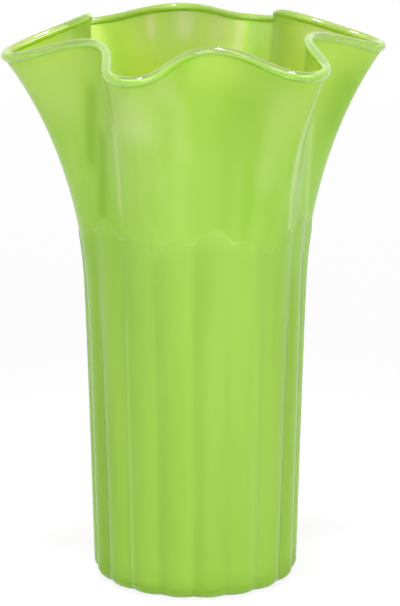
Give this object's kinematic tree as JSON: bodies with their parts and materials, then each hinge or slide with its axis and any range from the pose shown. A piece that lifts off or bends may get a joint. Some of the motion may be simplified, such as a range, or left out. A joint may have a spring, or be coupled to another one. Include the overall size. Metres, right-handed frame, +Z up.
{
  "type": "glass vase",
  "caption": "Tall round glass vase with a ribbed lower body, a wide flared mouth ruffled into soft folds and a rounded clear lip.",
  "frame": {"origin": "centre of the flat ground ring under the foot, on the axis of the round body, at table level", "axes": "+Z up along the axis of the body, -Y towards the viewer of the reference view, +X to the viewer's right"},
  "size_m": [0.1998, 0.1848, 0.2999],
  "materials": {
    "lime_glass": "gloss, cloudy translucent lime green",
    "ribbed_lime_glass": "soft gloss, cloudy translucent lime green, moulded ribs",
    "clear_lip_glass": "fire-polished, clear with a green tint",
    "pontil_glass": "ground and polished, clear with a green tint"
  },
  "bodies": {
    "root": {"inner_body": "lime_glass", "ribbed_casing": "ribbed_lime_glass", "clear_lip": "clear_lip_glass", "pontil_button": "pontil_glass"}
  },
  "joints": []
}
